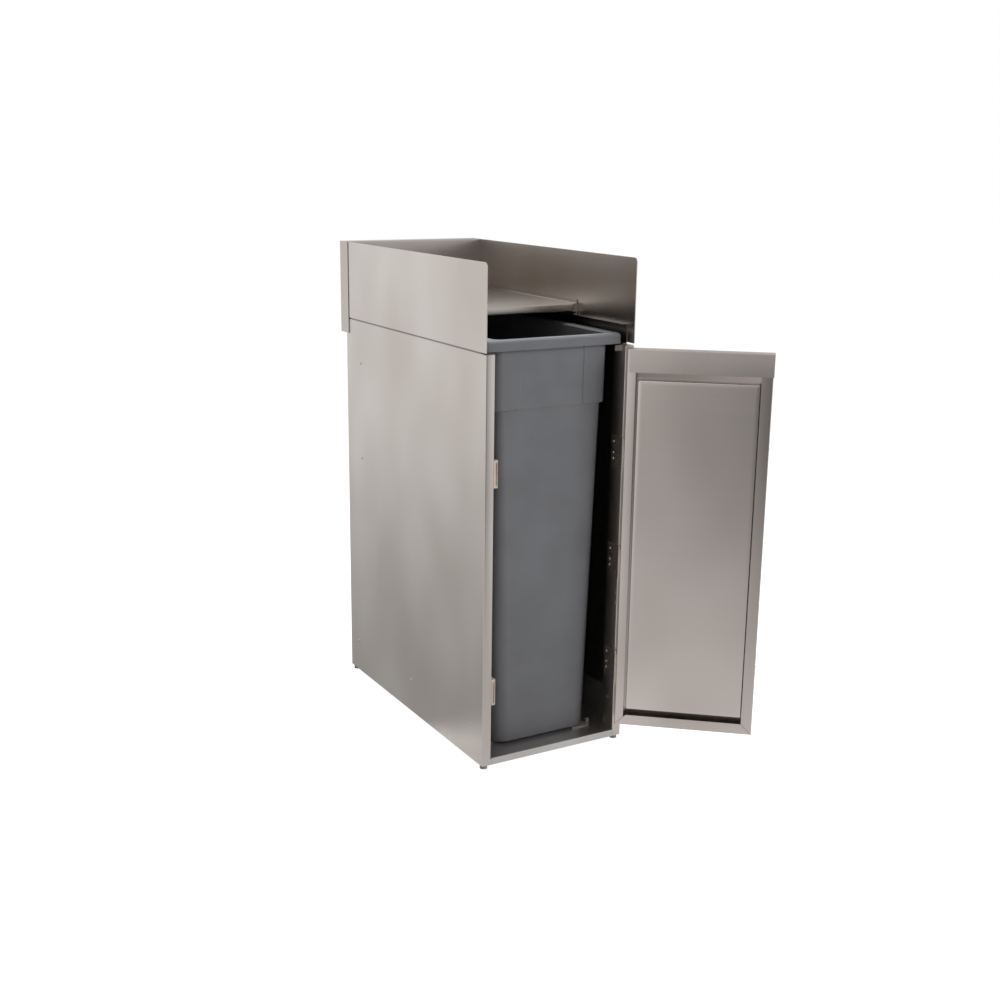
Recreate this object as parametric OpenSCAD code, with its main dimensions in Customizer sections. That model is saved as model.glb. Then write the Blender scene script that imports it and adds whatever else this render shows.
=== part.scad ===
// Underbar trash cabinet, 12 inch module, with a slim bin behind an inset door.
// Millimetres. X runs across the cabinet, Y runs from the door to the wall, Z is up.
// The origin is the middle of the footprint, on the floor.

/* [Cabinet] */
// Width over the side panels
cab_w = 304.8; // [300:0.1:320]
// Depth from the door jambs to the wall
cab_d = 609.6; // [604:0.1:640]
// Depth of the side panels
side_d = 586; // [580:0.5:590]
// Height of the side panels' top edge, under the splashes
seam_z = 761.5; // [755:0.1:764]
// Height of the shell's underside over the floor
shell_z = 8; // [6:0.5:12]
// Thickness of the stainless sheet
sheet_t = 1.5; // [1.2:0.1:1.6]
// Width of each door jamb
jamb_w = 18.5; // [16:0.1:19]
// Depth of the return behind each jamb
jamb_return = 38; // [36:0.5:40]
// Height of the floor panel's top
floor_z = 19.5; // [18:0.5:24]
// Height of the lip along the floor panel's front
lip_z = 21; // [18:0.5:22]
// Height of the upturned flanges at the floor panel's sides
floor_flange_z = 90; // [80:1:110]

/* [Splashes and shelf] */
// Height of the splashes' top edge
splash_z = 916; // [900:0.1:930]
// Gap between the side panels and the side splashes
seam_gap = 3; // [1:0.5:4]
// Distance from the door jambs to the back splash's face
back_face_y = 573; // [572:0.5:574]
// Height of the back splash box's underside
back_low_z = 732.5; // [728:0.5:740]
// Radius of the side splashes' front corners
splash_r = 8; // [4:0.5:12]
// Thickness of the back splash's end plates
end_t = 1.2; // [1:0.1:1.5]
// Distance that the end plates lap forward over the side splashes
end_lap = 0.5; // [0:0.5:12]
// Distance from the door jambs to the rails' front ends
rail_y = 22; // [20:0.5:30]
// Height of the rails' top
rail_z = 797.5; // [792:0.5:800]
// Width of the rails' lower flanges, with the web
rail_w = 8.5; // [8:0.1:9]
// Width of the rails' upper flanges, with the web
rail_top_w = 12.5; // [9:0.5:13]
// Distance from the door jambs to the shelf's front edge
shelf_y = 185; // [170:1:220]
// Height of the shelf's top
shelf_z = 818; // [812:0.5:830]
// Height of the shelf's front edge
shelf_hem = 15; // [12:0.5:15]
// Height of the lips along the shelf's sides
shelf_lip = 7; // [4:0.5:10]

/* [Door] */
// Angle at which the door stands open
door_open = 140; // [100:1:180]
// Closed door: distance from the jambs' front plane to its inner face
door_back_y = 19; // [17:0.5:19]
// Closed door: distance that its skin stands proud of the jambs
door_proud = 1; // [0.5:0.1:1]
// Thickness of the door's sheets
door_t = 1.2; // [1:0.1:1.2]
// Gap between the door's edge and the hinge pin's axis
door_gap = 3.5; // [3:0.1:3.6]
// Width of the door
door_w = 255.7; // [250:0.1:256]
// Height of the door's bottom edge
door_low_z = 45.5; // [40:0.5:60]
// Height of the door's top edge
door_top_z = 760; // [750:0.5:760]
// Width of the flange along the hinge edge
hinge_flange_w = 16; // [14:0.5:20]
// Width of the flanges along the free edge and the bottom
free_flange_w = 20; // [18:0.5:22]
// Height of the band across the door's top
band_h = 41.5; // [36:0.5:46]
// Distance that the band stands past the free edge
band_over = 1; // [0.5:0.1:1.5]
// Distance that the band stops short of the hinge edge
band_short = 4; // [3:0.5:12]
// Gap between the band and the liner
liner_top_gap = 14; // [10:0.5:16]
// Gap between the bottom flange and the liner
liner_low_gap = 11.5; // [8:0.5:14]
// Gap between the hinge flange and the liner
liner_hinge_gap = 4; // [3:0.5:6]
// Gap between the free flange and the liner
liner_free_gap = 1; // [0.5:0.1:3]
// Distance from the flanges' face in to the liner's face
liner_sink = 2; // [1.5:0.1:4]

/* [Hinges] */
// Distance of the hinge pins in front of the jambs
pin_out = 4.5; // [4.5:0.1:5]
// Radius of the hinge pins
pin_r = 2; // [1.8:0.05:2]
// Radius of the hinge knuckles
knuckle_r = 3.5; // [3.3:0.05:3.6]
// Length of each hinge
hinge_h = 60; // [50:1:65]
// Width of the frame's hinge leaves behind the jamb's front
leaf_w = 33; // [31:0.5:35]
// Thickness of the hinge leaves
leaf_t = 1.2; // [1.1:0.05:1.2]
// Height of the lowest hinge's middle
hinge_low_z = 155; // [120:1:180]
// Distance between the hinges' middles
hinge_pitch = 204.5; // [180:0.5:210]

/* [Catches] */
// Height of the lower catch's middle
catch_low_z = 139.5; // [120:0.5:160]
// Height of the upper catch's middle
catch_high_z = 548; // [500:0.5:560]
// Height of a catch's body
catch_h = 50; // [44:1:56]
// Width of a catch's body
catch_w = 19; // [18.5:0.5:22]
// Gap between the closed door and the catches' pole plates
catch_gap = 0.4; // [0.2:0.1:0.6]

/* [Bin] */
// Distance from the door jambs to the bin's rim
bin_y = 22; // [22:0.5:30]
// Length of the rim
bin_l = 508; // [480:1:508]
// Width of the rim
bin_w = 279.4; // [270:0.1:280]
// Height of the rim's top edge
bin_top_z = 782; // [780:0.5:790]
// Height of the rim's band
rim_h = 20; // [16:0.5:20]
// Half of the collar's width at its top
collar_half = 117.8; // [113:0.1:118]
// Distance that the collar's top is set back from the rim, front and rear
collar_in = 8; // [6:0.5:10]
// Half of the collar's width at its lower edge
collar_low_half = 117; // [112:0.1:118]
// Distance that the collar's lower edge is set back from the rim
collar_low_in = 10; // [8:0.5:12]
// Height of the collar's lower edge
collar_z = 656; // [620:1:680]
// Half of the body's width under the collar
body_half = 110.6; // [104:0.1:111]
// Distance that the body is set back from the rim under the collar
body_in = 13; // [12:0.5:15]
// Half of the base's width
base_half = 102.6; // [92:0.1:102.6]
// Distance that the base is set back from the rim
base_in = 20.4; // [20:0.1:28]
// Corner radius of the collar and of the body's top
bin_r = 16; // [12:0.5:20]
// Corner radius of the base
base_r = 28; // [16:0.5:32]
// Corner radius of the rim
rim_r = 5; // [4:0.5:16]
// Wall thickness of the bin
bin_t = 3; // [2.5:0.1:3.5]
// Half of the width of the shallow panel in the collar's front
grip_half = 65.5; // [50:0.5:80]
// Depth of that panel
grip_depth = 1.5; // [0.8:0.1:1.5]

/* [Feet and guides] */
// Distance of the glides from the side panels' outer faces
glide_x = 9; // [8.5:0.1:11]
// Distance of the glides from the jambs' and the side panels' ends
glide_y = 11; // [10.5:0.5:30]
// Radius of the glides' pads
pad_r = 7; // [6.5:0.5:8]
// Radius of the glides' studs
stud_r = 3; // [2.5:0.1:3]
// Width of the runners under the bin
runner_w = 36; // [30:0.5:44]
// Thickness of the runners
runner_t = 3; // [2:0.5:4]
// Distance of the runners' outer edges from the side panels' outer faces
runner_x = 47.4; // [46:0.1:56]
// Distance from the jambs to the right runner's front end, ahead of the bin's base
runner_y = 40; // [30:0.5:60]
// Distance from the jambs to the left runner's front end, behind the bin's front
runner_left_y = 60; // [50:0.5:70]

/* [Hidden] */
$fn = 48;
half_w = cab_w / 2;
front_y = -cab_d / 2;
eps = 0.01;
over = 1;

// Body
inner_x = half_w - sheet_t;
rear_flange_w = 20;
bottom_flange_w = 34;
tab_w = 9;
tab_y = 20.5;
tab_h = 10;
pan_rear_h = 36;
pan_return = 23.5;
back_flange = 18;

// Stops behind the bin
stop_y = bin_y + bin_l - collar_in + 0.5;
stop_back = 18.5;
stop_low_z = 460;
stop_high_z = 700;
stop_reach = 62;

// Rivets: places on the side panels and on the rear flanges
rivet_r = 4;
rivet_head = 1.2;
rivet_shank = 1.6;
rivet_tail_r = 2.6;
rivet_tail = 2.5;
rivet_bore = rivet_shank + 0.1;
side_rivets = [[45.5, 73], [293, 73], [545, 73], [517, 482], [517, 678]];
back_rivet_zs = [100, 290, 482, 678];
back_rivet_x = 10;

// Hinges: the pin's axis, measured from the middle and the jambs' front
opening_x = half_w - jamb_w;
leaf_gap = 0.1;
pin_x = opening_x - leaf_gap - leaf_t;
hinge_zs = [for (i = [0:2]) hinge_low_z + i * hinge_pitch];
knuckle_n = 5;
knuckle_gap = 0.3;
knuckle_step = (hinge_h + knuckle_gap) / knuckle_n;
knuckle_h = knuckle_step - knuckle_gap;
leaf_start = 0.2;
frame_bore_r = pin_r + 0.02;
door_bore_r = pin_r + 0.06;
screw_zs = [17, 28, 49];
door_screw_y = 12;
frame_screw_y = 27;
screw_r = 1.6;
screw_head_r = 2.8;
screw_head = 1.3;
screw_l = 7;
screw_bore = screw_r + 0.05;
screw_slot = [3.2, 0.7, 1];
leaf_bore = 0.05;
head_bore = 0.08;
pin_head_r = 3.2;
pin_head = 1.5;
backer_t = 3;
backer_low_z = 65;
backer_high_z = 625;
jamb_rivets = [[7, 276], [7, 297], [20.5, 83]];
jamb_rivet_r = 2.6;
jamb_rivet_head = 0.9;

// Door, closed, measured from the middle and the jambs' front
door_hinge_x = pin_x - door_gap;
door_free_x = door_hinge_x - door_w;
door_front_y = -door_proud;
liner_face_y = door_back_y - liner_sink;
band_z = door_top_z - band_h;
liner_x0 = door_free_x + free_flange_w + liner_free_gap;
liner_x1 = door_hinge_x - hinge_flange_w - liner_hinge_gap;
liner_z0 = door_low_z + free_flange_w + liner_low_gap;
liner_z1 = band_z - liner_top_gap;
edge_rivets = [179, 589];

// Catches
catch_y = 21;
catch_d = 13;
catch_wall = 2;
pole_t = 2;
pole_half_h = 20;
pole_x = 3;
magnet_w = 11;
magnet_d = 10;
catch_screw_r = 1.5;
catch_screw_head_r = 2.4;
catch_screw_head = 1.2;
catch_screw_tail = 3;
catch_screw_z = (pole_half_h + catch_h / 2) / 2;
catch_screw_y = catch_y + catch_d / 2;

// Bin
bin_mid_y = bin_y + bin_l / 2;
bin_low_z = floor_z + runner_t;
rim_low_z = bin_top_z - rim_h;
base_t = 4;
foot_bevel = 4;
foot_h = 8;
slab = 0.5;
neck_z = collar_z + 6;

// Glides and guide studs
stud_low = 2;
stud_top = 17.5;
nut_r = 5.4;
nut_h = 5;
glide_rear_y = side_d - glide_y;
pad_foot_h = 3;
pad_top = shell_z - 0.3;
neck_r = 5;
guide_x = 40.4;
guide_ys = [57, 500];
guide_r = 5;
guide_h = 10.5;
guide_shank = 2;
guide_tail_r = 3.2;
guide_tail = 2;

// Helpers

// A block between two corners.
module block(low, high) translate(low) cube(high - low);

// Children measured from the jambs' front plane in Y.
module at_front() translate([0, front_y, 0]) children();

// The same piece on the right-hand side.
module right_hand() mirror([1, 0, 0]) children();

// Children of the closed door, swung open about the hinge pins.
module opened()
  translate([pin_x, -pin_out, 0])
    rotate([0, 0, door_open])
      translate([-pin_x, pin_out, 0])
        children();

// Left normal of a direction, and one direction of unit length.
function left_of(v) = [-v[1], v[0]];
function unit(v) = v / norm(v);
function normal_at(path, i) = left_of(unit(path[i + 1] - path[i]));

// A corner of a path, moved to its left by t, with square bends kept square.
function moved(path, i, t) =
  i == 0 ? path[0] + t * normal_at(path, 0) :
  i == len(path) - 1 ? path[i] + t * normal_at(path, i - 1) :
  let (a = normal_at(path, i - 1), b = normal_at(path, i))
  path[i] + t * (a + b) / (1 + a * b);

// Section of a folded sheet: the path is its outer face, and the metal lies to the left.
module folded(path, t)
  polygon(concat(path, [for (i = [len(path) - 1 : -1 : 0]) moved(path, i, t)]));

// A low domed head, with its seat at z = 0.
module dome(head_r, head_h) {
  ball = (head_r * head_r + head_h * head_h) / (2 * head_h);
  intersection() {
    translate([0, 0, head_h - ball]) sphere(r = ball);
    cylinder(r = head_r, h = head_h);
  }
}

// A blind rivet, head up, with its head's seat at z = 0.
module rivet(grip, head_r, head_h) {
  dome(head_r, head_h);
  translate([0, 0, -grip - rivet_tail / 2]) cylinder(r = rivet_shank, h = grip + rivet_tail / 2 + eps);
  translate([0, 0, -grip - rivet_tail]) cylinder(r = rivet_tail_r, h = rivet_tail);
}

// A countersunk screw along +Z, with its flush head's face at z = 0 and its tip below.
module flush_screw(length) {
  difference() {
    union() {
      translate([0, 0, -leaf_t]) cylinder(r1 = screw_r, r2 = screw_head_r, h = leaf_t);
      translate([0, 0, -length]) cylinder(r = screw_r, h = length - leaf_t + eps);
    }
    for (a = [0, 90]) rotate([0, 0, a]) cube(screw_slot, center = true);
  }
}

// A screw with a domed head, seated at z = 0, and its tip below.
module domed_screw(length) {
  difference() {
    dome(screw_head_r, screw_head);
    for (a = [0, 90]) rotate([0, 0, a]) translate([0, 0, screw_head]) cube(screw_slot, center = true);
  }
  translate([0, 0, -length]) cylinder(r = screw_r, h = length + eps);
}

// The hole that a countersunk screw needs in a leaf whose face is at z = 0.
module flush_hole() {
  translate([0, 0, -leaf_t - eps])
    cylinder(r1 = screw_r + leaf_bore, r2 = screw_head_r + head_bore, h = leaf_t + 2 * eps);
}

// Children turned so that +Z points to -X, to +X or to +Y.
module facing_left() rotate([0, -90, 0]) children();
module facing_right() rotate([0, 90, 0]) children();
module facing_back() rotate([-90, 0, 0]) children();

// Body shell

// Left side panel: one folded sheet with its jamb, return, rear, top and bottom flanges.
module side_panel() {
  path = [
    [-half_w + rear_flange_w, side_d], [-half_w, side_d], [-half_w, 0],
    [-opening_x, 0], [-opening_x, jamb_return]
  ];
  difference() {
    union() {
      translate([0, 0, shell_z]) linear_extrude(seam_z - shell_z) folded(path, sheet_t);
      block([-inner_x, sheet_t, seam_z - sheet_t], [-opening_x - sheet_t, side_d - sheet_t, seam_z]);
      block([-inner_x, sheet_t, shell_z], [-opening_x - sheet_t, side_d - sheet_t, shell_z + sheet_t]);
      block([-inner_x, jamb_return + 2, shell_z],
            [-half_w + bottom_flange_w, side_d - sheet_t, shell_z + sheet_t]);
      block([-opening_x - eps, tab_y, seam_z - sheet_t - tab_h],
            [-opening_x + tab_w, tab_y + sheet_t, seam_z - sheet_t]);
    }
    for (p = side_rivets)
      translate([-half_w - over, p[0], p[1]]) facing_right() cylinder(r = rivet_bore, h = sheet_t + 2 * over);
    for (z = back_rivet_zs)
      translate([-half_w + back_rivet_x, side_d - sheet_t - over, z])
        facing_back() cylinder(r = rivet_bore, h = sheet_t + 2 * over);
    for (y = [glide_y, glide_rear_y])
      translate([-half_w + glide_x, y, shell_z - over]) cylinder(r = stud_r + 0.3, h = sheet_t + 2 * over);
  }
}

module side_left()
  color("silver") at_front() difference() {
    side_panel();
    for (z = [catch_low_z, catch_high_z], s = [-1, 1])
      translate([-opening_x - sheet_t - over, catch_screw_y, z + s * catch_screw_z])
        facing_right() cylinder(r = catch_screw_r + 0.05, h = sheet_t + 2 * over);
  }

module side_right()
  color("silver") at_front() difference() {
    right_hand() side_panel();
    for (h = hinge_zs, z = screw_zs)
      translate([opening_x - over, frame_screw_y, h - hinge_h / 2 + z])
        facing_right() cylinder(r = screw_bore, h = sheet_t + 2 * over);
    for (p = jamb_rivets)
      translate([opening_x - over, p[0], p[1]]) facing_right() cylinder(r = rivet_bore, h = sheet_t + 2 * over);
  }

module back_panel()
  color("silver") at_front() difference() {
    union() {
      block([-inner_x, side_d - 2 * sheet_t, shell_z + sheet_t], [inner_x, side_d - sheet_t, seam_z - sheet_t]);
      block([-opening_x + 0.5, side_d - 2 * sheet_t - back_flange, seam_z - sheet_t],
            [opening_x - 0.5, side_d - sheet_t, seam_z]);
    }
    for (s = [-1, 1], z = back_rivet_zs)
      translate([s * (half_w - back_rivet_x), side_d - 2 * sheet_t - over, z])
        facing_back() cylinder(r = rivet_bore, h = sheet_t + 2 * over);
  }

module floor_pan()
  color("gray") at_front() difference() {
    rear = side_d - 2 * sheet_t;
    low = floor_z - sheet_t;
    union() {
      block([-opening_x + 0.5, 0, low], [opening_x - 0.5, jamb_return + 3, floor_z]);
      block([-inner_x, jamb_return + 2, low], [inner_x, rear, floor_z]);
      for (s = [0, 1]) mirror([s, 0, 0])
        block([-inner_x, jamb_return + 2, low], [-inner_x + sheet_t, rear, floor_flange_z]);
      block([-inner_x, rear - sheet_t, low], [inner_x, rear, floor_z + pan_rear_h]);
      block([-opening_x + 0.3, 0, shell_z], [opening_x - 0.3, sheet_t, lip_z]);
      block([-half_w + bottom_flange_w + 2, 0, shell_z],
            [half_w - bottom_flange_w - 2, sheet_t + pan_return, shell_z + sheet_t]);
    }
    for (p = side_rivets, s = [-1, 1]) if (p[1] < floor_flange_z)
      translate([s * (inner_x - sheet_t / 2), p[0], p[1]])
        facing_right() cylinder(r = rivet_bore, h = sheet_t + 2 * over, center = true);
    for (s = [-1, 1], y = guide_ys)
      translate([s * (half_w - guide_x), y, low - 1]) cylinder(r = guide_shank + 0.1, h = sheet_t + 2 * over);
  }

module back_splash() {
  path = [
    [side_d, seam_z - 6], [side_d, back_low_z], [cab_d, back_low_z], [cab_d, splash_z],
    [back_face_y, splash_z], [back_face_y, seam_z], [side_d, seam_z]
  ];
  color("silver") at_front()
    translate([-half_w, 0, 0]) rotate([90, 0, 90]) linear_extrude(cab_w) folded(path, sheet_t);
}

// Side splash: a flat sheet with a round front corner, standing over the seam.
module splash() {
  low = seam_z + seam_gap;
  block([-half_w, splash_r, low], [-inner_x, back_face_y, splash_z]);
  block([-half_w, 0, low], [-inner_x, back_face_y, splash_z - splash_r]);
  translate([-half_w, splash_r, splash_z - splash_r]) facing_right() cylinder(r = splash_r, h = sheet_t);
}

module splash_left() color("silver") at_front() splash();
module splash_right() color("silver") at_front() right_hand() splash();

// End plate that closes the back splash box and laps over the side splash and panel.
module splash_end()
  block([-half_w - end_t, back_face_y - end_lap, back_low_z], [-half_w, cab_d, splash_z]);

module splash_end_left() color("silver") at_front() splash_end();
module splash_end_right() color("silver") at_front() right_hand() splash_end();

// Rail on the side panel's top flange: it backs the side splash and carries the shelf.
// Its section runs clockwise, so the metal is set to the right of the path.
module rail() {
  path = [
    [-inner_x + rail_w, seam_z], [-inner_x, seam_z],
    [-inner_x, rail_z], [-inner_x + rail_top_w, rail_z]
  ];
  translate([0, back_face_y, 0]) rotate([90, 0, 0])
    linear_extrude(back_face_y - rail_y) folded(path, -sheet_t);
}

module rail_left() color("silver") at_front() rail();
module rail_right() color("silver") at_front() right_hand() rail();

module shelf() {
  side_x = inner_x - 0.5;
  rear = back_face_y - 1.5;
  low = shelf_z - sheet_t;
  leg_x = inner_x - rail_w - 2;
  color("silver") at_front() union() {
    block([-side_x, shelf_y, low], [side_x, rear, shelf_z]);
    for (s = [0, 1]) mirror([s, 0, 0])
      block([-side_x, shelf_y + 3, low], [-side_x + sheet_t, rear, shelf_z + shelf_lip]);
    block([-side_x, shelf_y, shelf_z - shelf_hem], [side_x, shelf_y + sheet_t, shelf_z]);
    block([-leg_x, shelf_y, shelf_z - shelf_hem], [leg_x, shelf_y + 10, shelf_z - shelf_hem + sheet_t]);
    block([-leg_x, rear - sheet_t, shelf_z - shelf_hem], [leg_x, rear, shelf_z]);
  }
}

// Leg channel between the rail and the shelf.
module shelf_leg() {
  x0 = -inner_x + sheet_t;
  x1 = -inner_x + rail_w - 0.5;
  y0 = shelf_y + sheet_t + 0.5;
  y1 = back_face_y - 2;
  top = shelf_z - sheet_t;
  block([x0, y0, rail_z], [x0 + sheet_t, y1, top]);
  block([x0, y0, rail_z], [x1, y1, rail_z + sheet_t]);
  block([x0, y0, top - sheet_t], [x1, y1, top]);
}

module shelf_leg_left() color("silver") at_front() shelf_leg();
module shelf_leg_right() color("silver") at_front() right_hand() shelf_leg();

// Angle on the side panel that the back of the bin stops against.
module bin_stop()
  difference() {
    union() {
      block([-inner_x, stop_y - stop_back, stop_low_z], [-inner_x + sheet_t, stop_y + sheet_t, stop_high_z]);
      block([-inner_x, stop_y, stop_low_z], [-half_w + stop_reach, stop_y + sheet_t, stop_high_z]);
    }
    for (p = side_rivets) if (p[1] > floor_flange_z)
      translate([-inner_x - over, p[0], p[1]]) facing_right() cylinder(r = rivet_bore, h = sheet_t + 2 * over);
  }

module bin_stop_left() color("silver") at_front() bin_stop();
module bin_stop_right() color("silver") at_front() right_hand() bin_stop();

// Flat strip on the floor panel that the bin slides on, from y0 back past the stops.
module runner(y0)
  block([-half_w + runner_x, y0, floor_z], [-half_w + runner_x + runner_w, stop_y + 10, floor_z + runner_t]);

module runner_left() color("gainsboro") at_front() runner(runner_left_y);
module runner_right() color("gainsboro") at_front() right_hand() runner(runner_y);

// Round studs on the floor panel, on both sides of the bin's base.
module guide_studs()
  color("gainsboro") at_front()
    for (s = [-1, 1], y = guide_ys) translate([s * (half_w - guide_x), y, floor_z]) {
      cylinder(r = guide_r, h = guide_h);
      translate([0, 0, -sheet_t - guide_tail]) cylinder(r = guide_shank, h = sheet_t + guide_tail + eps);
      translate([0, 0, -sheet_t - guide_tail]) cylinder(r = guide_tail_r, h = guide_tail);
    }

// Fasteners of the shell

module side_rivets_set()
  for (p = side_rivets) translate([-half_w, p[0], p[1]])
    facing_left() rivet(2 * sheet_t, rivet_r, rivet_head);

module side_rivets_left() color("silver") at_front() side_rivets_set();
module side_rivets_right() color("silver") at_front() right_hand() side_rivets_set();

module back_rivets()
  color("silver") at_front()
    for (s = [-1, 1], z = back_rivet_zs)
      translate([s * (half_w - back_rivet_x), side_d, z])
        facing_back() rivet(2 * sheet_t, rivet_r, rivet_head);

module hinge_backing_plate()
  color("darkgray") at_front() difference() {
    x0 = opening_x + sheet_t;
    block([x0, 3, backer_low_z], [x0 + backer_t, jamb_return - 3, backer_high_z]);
    for (h = hinge_zs, z = screw_zs)
      translate([x0 - over, frame_screw_y, h - hinge_h / 2 + z])
        facing_right() cylinder(r = screw_bore, h = backer_t + 2 * over);
    for (p = jamb_rivets)
      translate([x0 - over, p[0], p[1]]) facing_right() cylinder(r = rivet_bore, h = backer_t + 2 * over);
  }

module jamb_rivets()
  color("silver") at_front()
    for (p = jamb_rivets) translate([opening_x, p[0], p[1]])
      facing_left() rivet(sheet_t + backer_t, jamb_rivet_r, jamb_rivet_head);

// Hinges

// The knuckles numbered in picks, with the neck that joins them to a leaf that starts at x0.
module knuckles(picks, bore_r, x0) {
  for (i = picks) translate([0, 0, i * knuckle_step]) difference() {
    union() {
      cylinder(r = knuckle_r, h = knuckle_h);
      translate([x0, 0, 0]) cube([leaf_t, pin_out + leaf_start + eps, knuckle_h]);
    }
    translate([0, 0, -over]) cylinder(r = bore_r, h = knuckle_h + 2 * over);
  }
}

// One leaf at the pin's origin, from x0: it reaches back from the jambs' front by width.
module leaf(picks, bore_r, x0, width) {
  knuckles(picks, bore_r, x0);
  translate([x0, pin_out + leaf_start, 0]) cube([leaf_t, width - leaf_start, hinge_h]);
}

module frame_leaf(z)
  at_front() translate([pin_x, -pin_out, z - hinge_h / 2]) difference() {
    leaf([0, 2, 4], frame_bore_r, leaf_gap, leaf_w);
    for (h = screw_zs) translate([leaf_gap - over, pin_out + frame_screw_y, h])
      facing_right() cylinder(r = screw_bore, h = leaf_t + 2 * over);
  }

module door_leaf(z)
  at_front() opened() translate([pin_x, -pin_out, z - hinge_h / 2]) difference() {
    leaf([1, 3], door_bore_r, -door_gap, door_back_y - 1);
    for (h = screw_zs) translate([leaf_t - door_gap, pin_out + door_screw_y, h]) facing_right() flush_hole();
  }

module hinge_low_frame_leaf() color("silver") frame_leaf(hinge_zs[0]);
module hinge_middle_frame_leaf() color("silver") frame_leaf(hinge_zs[1]);
module hinge_high_frame_leaf() color("silver") frame_leaf(hinge_zs[2]);
module hinge_low_door_leaf() color("silver") door_leaf(hinge_zs[0]);
module hinge_middle_door_leaf() color("silver") door_leaf(hinge_zs[1]);
module hinge_high_door_leaf() color("silver") door_leaf(hinge_zs[2]);

module hinge_pins()
  color("gainsboro") at_front()
    for (h = hinge_zs) translate([pin_x, -pin_out, h - hinge_h / 2]) {
      cylinder(r = pin_r, h = hinge_h + eps);
      translate([0, 0, hinge_h]) cylinder(r = pin_head_r, h = pin_head);
    }

module hinge_frame_screws()
  color("gainsboro") at_front()
    for (h = hinge_zs, z = screw_zs)
      translate([pin_x + leaf_gap, frame_screw_y, h - hinge_h / 2 + z]) facing_left() domed_screw(screw_l);

module hinge_door_screws()
  color("gainsboro") at_front() opened()
    for (h = hinge_zs, z = screw_zs)
      translate([pin_x + leaf_t - door_gap, door_screw_y, h - hinge_h / 2 + z])
        facing_right() flush_screw(screw_l);

// Catches

module catch_body(z)
  color("tan") at_front() difference() {
    block([-opening_x, catch_y, z - catch_h / 2], [-opening_x + catch_w, catch_y + catch_d, z + catch_h / 2]);
    for (x = [pole_x, pole_x + pole_t + magnet_w])
      block([-opening_x + x, catch_y - over, z - pole_half_h],
            [-opening_x + x + pole_t, catch_y + catch_d + over, z + pole_half_h]);
    block([-opening_x + pole_x, catch_y + catch_wall, z - pole_half_h],
          [-opening_x + pole_x + 2 * pole_t + magnet_w, catch_y + catch_d + over, z + pole_half_h]);
    for (s = [-1, 1]) translate([-opening_x - over, catch_screw_y, z + s * catch_screw_z])
      facing_right() cylinder(r = catch_screw_r + 0.1, h = catch_w + 2 * over);
  }

module catch_low_body() catch_body(catch_low_z);
module catch_high_body() catch_body(catch_high_z);

// Steel plates on both sides of each magnet, which reach out to the closed door.
module catch_pole_plates()
  color("gainsboro") at_front()
    for (z = [catch_low_z, catch_high_z], x = [pole_x, pole_x + pole_t + magnet_w])
      block([-opening_x + x, door_back_y + catch_gap, z - pole_half_h],
            [-opening_x + x + pole_t, catch_y + catch_wall + magnet_d, z + pole_half_h]);

module catch_magnets()
  color("dimgray") at_front()
    for (z = [catch_low_z, catch_high_z])
      block([-opening_x + pole_x + pole_t, catch_y + catch_wall, z - pole_half_h],
            [-opening_x + pole_x + pole_t + magnet_w, catch_y + catch_wall + magnet_d, z + pole_half_h]);

module catch_screws()
  color("gainsboro") at_front()
    for (z = [catch_low_z, catch_high_z], s = [-1, 1])
      translate([-opening_x + catch_w, catch_screw_y, z + s * catch_screw_z]) {
        facing_right() cylinder(r = catch_screw_head_r, h = catch_screw_head);
        facing_left() cylinder(r = catch_screw_r, h = catch_w + catch_screw_tail);
      }

// Door, drawn closed and then swung open

module door_skin() {
  free = door_free_x;
  hinge = door_hinge_x;
  inner = door_back_y - door_t;
  color("silver") at_front() opened() difference() {
    union() {
      block([free, door_front_y, door_low_z], [hinge, door_front_y + door_t, door_top_z]);
      block([free, door_front_y, door_low_z], [free + door_t, door_back_y, door_top_z]);
      block([hinge - door_t, door_front_y, door_low_z], [hinge, door_back_y, door_top_z]);
      block([free, door_front_y, door_low_z], [hinge, door_back_y, door_low_z + door_t]);
      block([free, door_front_y, door_top_z - door_t], [hinge, door_back_y, door_top_z]);
      block([free, inner, door_low_z], [free + free_flange_w, door_back_y, door_top_z]);
      block([hinge - hinge_flange_w, inner, door_low_z], [hinge, door_back_y, door_top_z]);
      block([free, inner, door_low_z], [hinge, door_back_y, door_low_z + free_flange_w]);
      block([free - band_over, door_back_y - eps, band_z],
            [hinge - band_short, door_back_y + door_t, door_top_z]);
    }
    for (h = hinge_zs, z = screw_zs)
      translate([hinge - door_t - over, door_screw_y, h - hinge_h / 2 + z])
        facing_right() cylinder(r = screw_bore, h = door_t + 2 * over);
    for (z = edge_rivets)
      translate([free - over, door_back_y / 2, z]) facing_right() cylinder(r = rivet_bore, h = door_t + 2 * over);
  }
}

// Pan inside the door: its face, and four sides that reach the skin.
module door_liner()
  color("silver") at_front() opened() difference() {
    block([liner_x0, door_front_y + door_t, liner_z0], [liner_x1, liner_face_y, liner_z1]);
    block([liner_x0 + door_t, door_front_y, liner_z0 + door_t],
          [liner_x1 - door_t, liner_face_y - door_t, liner_z1 - door_t]);
  }

module door_edge_rivets()
  color("silver") at_front() opened()
    for (z = edge_rivets) translate([door_free_x, door_back_y / 2, z])
      facing_left() rivet(door_t, jamb_rivet_r, jamb_rivet_head);

// Bin

// A thin rounded slab centred on the bin, half_x by half_y, with its underside at z.
module bin_slab(half_x, half_y, r, z)
  hull() for (sx = [-1, 1], sy = [-1, 1])
    translate([sx * (half_x - r), bin_mid_y + sy * (half_y - r), z]) cylinder(r = r, h = slab, $fn = 32);

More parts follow.
